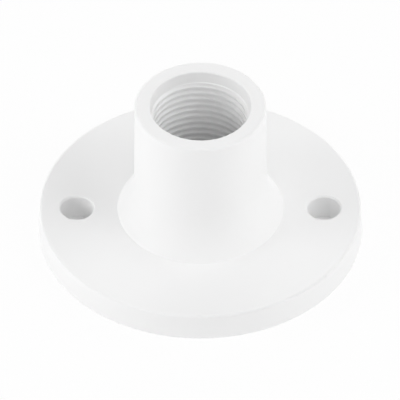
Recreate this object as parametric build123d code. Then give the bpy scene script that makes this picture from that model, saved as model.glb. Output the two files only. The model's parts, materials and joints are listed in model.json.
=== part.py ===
from build123d import *
from math import isclose, radians, tan
import os

# Ceiling canopy: a moulded plate that is screwed to the ceiling, with a threaded boss for a lamp nipple.
# Millimetres, +Z along the boss. The origin is the centre of the flat face that lies on the ceiling.

# Bore, for a 13 mm nipple thread of 1 mm pitch. Its wall is at the thread's major diameter.
thread_diameter = 13.0
bore_chamfer = 0.5

# Boss and its flared foot, the wall measured at the mouth
boss_wall = 2.0
boss_height = 17.8
boss_draft = 0.3
foot_height = 6.0
foot_spread = 2.25

# Plate, from the foot's edge outwards
plate_thickness = 3.6
hole_count = 2
hole_diameter = 4.3
foot_to_hole = 5.25
hole_to_rim = 5.0
rim_draft = 3.0

# Rounded edges, and the bevel round each screw hole
boss_edge_round = 0.35
mouth_edge_round = 0.2
rim_edge_round = 0.3
hole_bevel = 0.2

# Radii and heights that follow from these
bore_radius = thread_diameter / 2
boss_radius = bore_radius + boss_wall
foot_radius = boss_radius + foot_spread
hole_radius = hole_diameter / 2
hole_offset = foot_radius + foot_to_hole
base_radius = hole_offset + hole_to_rim
rim_radius = base_radius - plate_thickness * tan(radians(rim_draft))
boss_top = plate_thickness + boss_height
foot_top = plate_thickness + foot_height
boss_slope = tan(radians(boss_draft))
wall_radius = boss_radius + (boss_top - foot_top) * boss_slope
match = 1e-4


def half_section():
    """Half of the canopy's section, with the bore on its inner side."""
    foot_edge = (foot_radius, plate_thickness)
    wall_foot = (wall_radius, foot_top)
    bore_end = (bore_radius + bore_chamfer, 0)
    with BuildSketch(Plane.XZ) as section:
        with BuildLine():
            Polyline(bore_end, (base_radius, 0), (rim_radius, plate_thickness), foot_edge)
            TangentArc(wall_foot, foot_edge, tangent=(boss_slope, -1))
            Polyline(
                wall_foot,
                (boss_radius, boss_top),
                (bore_radius, boss_top),
                (bore_radius, bore_chamfer),
                bore_end,
            )
        make_face()
    return section.sketch


def ring(solid, radius, height):
    """The circular edges of one radius at one height."""
    return [
        edge
        for edge in solid.edges().filter_by(GeomType.CIRCLE)
        if isclose(edge.radius, radius, abs_tol=match) and isclose(edge.arc_center.Z, height, abs_tol=match)
    ]


def ceiling_canopy():
    """The moulding: section turned round the boss's axis, screw holes, then its edges."""
    canopy = revolve(half_section(), Axis.Z)
    canopy -= PolarLocations(hole_offset, hole_count) * Cylinder(hole_radius, 2 * boss_top)
    canopy = fillet(ring(canopy, boss_radius, boss_top), boss_edge_round)
    canopy = fillet(ring(canopy, bore_radius, boss_top), mouth_edge_round)
    canopy = fillet(ring(canopy, rim_radius, plate_thickness), rim_edge_round)
    return chamfer(ring(canopy, hole_radius, plate_thickness), hole_bevel)


os.makedirs("parts", exist_ok=True)
export_step(ceiling_canopy(), "parts/ceiling_canopy.step")
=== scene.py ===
import json
import math

import bmesh
import bpy
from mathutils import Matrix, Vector


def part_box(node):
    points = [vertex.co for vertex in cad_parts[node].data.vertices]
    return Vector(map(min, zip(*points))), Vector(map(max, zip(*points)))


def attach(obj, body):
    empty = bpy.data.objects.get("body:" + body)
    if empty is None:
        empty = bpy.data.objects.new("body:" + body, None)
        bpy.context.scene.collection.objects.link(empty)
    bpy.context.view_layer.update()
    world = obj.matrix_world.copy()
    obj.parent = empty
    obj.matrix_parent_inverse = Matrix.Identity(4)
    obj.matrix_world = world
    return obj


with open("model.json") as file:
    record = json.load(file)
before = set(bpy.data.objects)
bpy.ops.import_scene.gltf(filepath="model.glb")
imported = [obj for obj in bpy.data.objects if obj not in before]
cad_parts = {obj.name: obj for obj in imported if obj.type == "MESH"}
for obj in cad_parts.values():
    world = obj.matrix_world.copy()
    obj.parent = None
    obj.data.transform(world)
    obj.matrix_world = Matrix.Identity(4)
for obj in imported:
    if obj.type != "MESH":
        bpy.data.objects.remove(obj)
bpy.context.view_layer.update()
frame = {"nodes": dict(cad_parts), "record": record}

# Sizes in metres, angles in degrees
MM = 0.001

# What the frame gives: the canopy's box and the bore's wall
canopy_low, canopy_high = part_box("ceiling_canopy")
mounts = {mount["name"]: mount for mount in frame["record"]["mounts"]}
bore = mounts["nipple_thread"]
bore_radius = bore["dims"]["r_mm"] * MM
bore_length = bore["dims"]["length_mm"] * MM
bore_bottom = bore["pos_m"][2] - bore_length / 2
bore_top = bore["pos_m"][2] + bore_length / 2

# Thread inside the boss, right-handed, below a plain lead-in that narrows a little from the mouth
lead_in_depth = 1.6 * MM
lead_in_radius = 6.3 * MM
thread_top = canopy_high[2] - lead_in_depth
thread_pitch = 1.0 * MM
thread_crest_radius = 6.1 * MM
thread_root_flat = 0.125 * MM
thread_flank_angle = 30.0
thread_phase_turns = 0.32
thread_skin = 0.02 * MM
thread_columns = 144
thread_rows = 12
weld_distance = 0.0001 * MM

# Finish of the white plastic: a satin gloss that varies a little, and a fine grain
plastic_white = 0.93
plastic_ior = 1.49
gloss_roughness_low = 0.46
gloss_roughness_high = 0.54
gloss_noise_scale = 180.0
gloss_noise_detail = 3.0
grain_noise_scale = 2500.0
grain_strength = 0.02
grain_height = 0.02 * MM

# Camera, at the photograph's angle
camera_distance = 2.0
camera_elevation = 42.6
camera_reach = 10.0
camera_target = Vector((-0.05 * MM, 0.0, 4.91 * MM))
pixels_per_mm = 7.718
picture_width = 400
sensor_width = 36.0

# White room and floor
backdrop_strength = 1.0
world_strength = 0.34
floor_size = 3.0
floor_white = 0.95
floor_shadow = 0.08

# Lamps: name, azimuth from the front towards the right, elevation, diameter and watts
lamp_distance = 0.5
lamps = [
    ("left", -75.0, 25.0, 0.25, 0.40),
    ("low_left", -90.0, 12.0, 0.5, 0.55),
    ("high_left", -90.0, 40.0, 0.5, 0.10),
    ("front_left", -45.0, 12.0, 0.5, 0.37),
    ("right", 90.0, 40.0, 0.5, 0.66),
    ("low_right", 90.0, 8.0, 0.25, 0.27),
    ("front", 0.0, 45.0, 0.25, 0.30),
    ("front_right", 60.0, 45.0, 0.25, 0.37),
    ("back", 180.0, 12.0, 0.5, 0.95),
    ("back_left", -135.0, 40.0, 0.5, 0.15),
]


def grey(value):
    """An opaque grey, as Blender's colour sockets take it."""
    return (value, value, value, 1.0)


def white_plastic():
    """Moulded white plastic, with a faint unevenness in its surface and its gloss."""
    material = bpy.data.materials.new("white_plastic")
    material.use_nodes = True
    nodes = material.node_tree.nodes
    links = material.node_tree.links
    shader = nodes["Principled BSDF"]
    shader.inputs["Base Color"].default_value = grey(plastic_white)
    shader.inputs["IOR"].default_value = plastic_ior
    place = nodes.new("ShaderNodeTexCoord")
    ripple = nodes.new("ShaderNodeTexNoise")
    ripple.inputs["Scale"].default_value = gloss_noise_scale
    ripple.inputs["Detail"].default_value = gloss_noise_detail
    links.new(place.outputs["Object"], ripple.inputs["Vector"])
    gloss = nodes.new("ShaderNodeMapRange")
    gloss.inputs["To Min"].default_value = gloss_roughness_low
    gloss.inputs["To Max"].default_value = gloss_roughness_high
    links.new(ripple.outputs["Fac"], gloss.inputs["Value"])
    links.new(gloss.outputs["Result"], shader.inputs["Roughness"])
    grain = nodes.new("ShaderNodeTexNoise")
    grain.inputs["Scale"].default_value = grain_noise_scale
    links.new(place.outputs["Object"], grain.inputs["Vector"])
    bump = nodes.new("ShaderNodeBump")
    bump.inputs["Strength"].default_value = grain_strength
    bump.inputs["Distance"].default_value = grain_height
    links.new(grain.outputs["Fac"], bump.inputs["Height"])
    links.new(bump.outputs["Normal"], shader.inputs["Normal"])
    return material


def thread_radius(angle, height):
    """Radius of the threaded wall at an angle and a height, with its ends cut by 45 degree cones."""
    root_radius = bore_radius - thread_skin
    depth = root_radius - thread_crest_radius
    flank = depth * math.tan(math.radians(thread_flank_angle))
    turn = (height / thread_pitch - angle / math.tau + thread_phase_turns) % 1.0
    from_root = abs(turn - 0.5) * thread_pitch
    rise = (from_root - thread_root_flat / 2) / flank
    radius = root_radius - depth * min(max(rise, 0.0), 1.0)
    below_top = thread_top - height
    above_bottom = height - bore_bottom
    radius = max(radius, lead_in_radius - below_top, bore_radius - above_bottom)
    return min(radius, lead_in_radius + below_top, root_radius)


def on_circle(radius, angle, height):
    """A point round the boss's axis."""
    return (radius * math.cos(angle), radius * math.sin(angle), height)


def bore_thread():
    """The thread and its lead-in as a thin closed sleeve in the bore, its rows running along the helix."""
    # One turn more at each end, which the limits on the height flatten
    turns = math.ceil((thread_top - bore_bottom) / thread_pitch) + 2
    start = bore_bottom - thread_pitch
    rows = turns * thread_rows + 1
    angles = [math.tau * column / thread_columns for column in range(thread_columns)]
    mesh = bmesh.new()
    wall = []
    for angle in angles:
        line = []
        for row in range(rows):
            height = start + thread_pitch * (row / thread_rows + angle / math.tau)
            height = min(max(height, bore_bottom), thread_top)
            line.append(mesh.verts.new(on_circle(thread_radius(angle, height), angle, height)))
        wall.append(line)
    back_radius = bore_radius + thread_skin
    backs = []
    for angle in angles:
        low = mesh.verts.new(on_circle(back_radius, angle, bore_bottom))
        high = mesh.verts.new(on_circle(back_radius, angle, bore_top))
        backs.append((low, high))
    for column in range(thread_columns):
        following = (column + 1) % thread_columns
        step = thread_rows if following == 0 else 0
        here, there = wall[column], wall[following]
        for row in range(rows - 1 - step):
            mesh.faces.new((here[row], here[row + 1], there[row + 1 + step], there[row + step]))
        low, high = backs[column]
        next_low, next_high = backs[following]
        mesh.faces.new((low, next_low, next_high, high))
        mesh.faces.new((here[-1], high, next_high, there[-1]))
        mesh.faces.new((here[0], there[0], next_low, low))
    bmesh.ops.remove_doubles(mesh, verts=mesh.verts, dist=weld_distance)
    bmesh.ops.recalc_face_normals(mesh, faces=mesh.faces)
    data = bpy.data.meshes.new("bore_thread")
    mesh.to_mesh(data)
    mesh.free()
    piece = bpy.data.objects.new("bore_thread", data)
    bpy.context.collection.objects.link(piece)
    return piece


def seen_rays(nodes, links):
    """1 for the rays that see a white background, and 0 for those that carry light to the object."""
    path = nodes.new("ShaderNodeLightPath")
    seen = path.outputs["Is Camera Ray"]
    for kind in ("Is Glossy Ray", "Is Transmission Ray"):
        either = nodes.new("ShaderNodeMath")
        either.operation = "MAXIMUM"
        links.new(seen, either.inputs[0])
        links.new(path.outputs[kind], either.inputs[1])
        seen = either.outputs["Value"]
    return seen


def floor():
    """A plain pale floor. Outside the object's footprint it looks white, with a faint shadow."""
    bpy.ops.mesh.primitive_plane_add(size=floor_size, location=(0, 0, canopy_low[2]))
    plane = bpy.context.object
    plane.name = "floor"
    material = bpy.data.materials.new("floor")
    material.use_nodes = True
    nodes = material.node_tree.nodes
    links = material.node_tree.links
    nodes.clear()
    matte = nodes.new("ShaderNodeBsdfDiffuse")
    matte.inputs["Color"].default_value = grey(floor_white)
    glow = nodes.new("ShaderNodeEmission")
    glow.inputs["Strength"].default_value = backdrop_strength
    place = nodes.new("ShaderNodeTexCoord")
    distance = nodes.new("ShaderNodeVectorMath")
    distance.operation = "LENGTH"
    links.new(place.outputs["Object"], distance.inputs[0])
    outside = nodes.new("ShaderNodeMath")
    outside.operation = "GREATER_THAN"
    outside.inputs[1].default_value = canopy_high[0]
    links.new(distance.outputs["Value"], outside.inputs[0])
    white = nodes.new("ShaderNodeMath")
    white.operation = "MULTIPLY"
    links.new(seen_rays(nodes, links), white.inputs[0])
    links.new(outside.outputs["Value"], white.inputs[1])
    share = nodes.new("ShaderNodeMath")
    share.operation = "MULTIPLY"
    share.inputs[1].default_value = 1.0 - floor_shadow
    links.new(white.outputs["Value"], share.inputs[0])
    mix = nodes.new("ShaderNodeMixShader")
    links.new(share.outputs["Value"], mix.inputs["Fac"])
    links.new(matte.outputs["BSDF"], mix.inputs[1])
    links.new(glow.outputs["Emission"], mix.inputs[2])
    out = nodes.new("ShaderNodeOutputMaterial")
    links.new(mix.outputs["Shader"], out.inputs["Surface"])
    plane.data.materials.append(material)


def studio_world():
    """White to the camera and in the gloss, and a weaker even light on the object."""
    world = bpy.data.worlds.new("studio")
    bpy.context.scene.world = world
    world.use_nodes = True
    nodes = world.node_tree.nodes
    links = world.node_tree.links
    light = nodes["Background"]
    light.inputs["Color"].default_value = grey(1.0)
    light.inputs["Strength"].default_value = world_strength
    backdrop = nodes.new("ShaderNodeBackground")
    backdrop.inputs["Color"].default_value = grey(1.0)
    backdrop.inputs["Strength"].default_value = backdrop_strength
    mix = nodes.new("ShaderNodeMixShader")
    links.new(seen_rays(nodes, links), mix.inputs["Fac"])
    links.new(light.outputs["Background"], mix.inputs[1])
    links.new(backdrop.outputs["Background"], mix.inputs[2])
    links.new(mix.outputs["Shader"], nodes["World Output"].inputs["Surface"])


def direction(azimuth, elevation):
    """A unit vector: azimuth 0 is the front, growing to the right."""
    level = math.cos(math.radians(elevation))
    x = level * math.sin(math.radians(azimuth))
    y = -level * math.cos(math.radians(azimuth))
    return Vector((x, y, math.sin(math.radians(elevation))))


def lamp(name, azimuth, elevation, diameter, watts):
    """A round soft lamp that faces the object. The gloss shows the white room and not the lamp."""
    data = bpy.data.lights.new(name, "AREA")
    data.shape = "DISK"
    data.size = diameter
    data.energy = watts
    light = bpy.data.objects.new(name, data)
    light.visible_glossy = False
    bpy.context.collection.objects.link(light)
    way = direction(azimuth, elevation)
    light.location = camera_target + way * lamp_distance
    light.rotation_euler = way.to_track_quat("Z", "Y").to_euler()


def camera():
    """A distant camera with a long lens, framed as the photograph."""
    data = bpy.data.cameras.new("camera")
    data.sensor_width = sensor_width
    data.lens = pixels_per_mm / MM * camera_distance * sensor_width / picture_width
    data.clip_end = camera_reach
    eye = bpy.data.objects.new("camera", data)
    bpy.context.collection.objects.link(eye)
    way = direction(0.0, camera_elevation)
    eye.location = camera_target + way * camera_distance
    eye.rotation_euler = way.to_track_quat("Z", "Y").to_euler()
    bpy.context.scene.camera = eye


bpy.context.scene.view_settings.view_transform = "Standard"
plastic = white_plastic()

canopy = frame["nodes"]["ceiling_canopy"]
canopy.data.materials.clear()
canopy.data.materials.append(plastic)

thread = bore_thread()
thread.data.materials.append(plastic)
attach(thread, "root")

floor()
studio_world()
for settings in lamps:
    lamp(*settings)
camera()
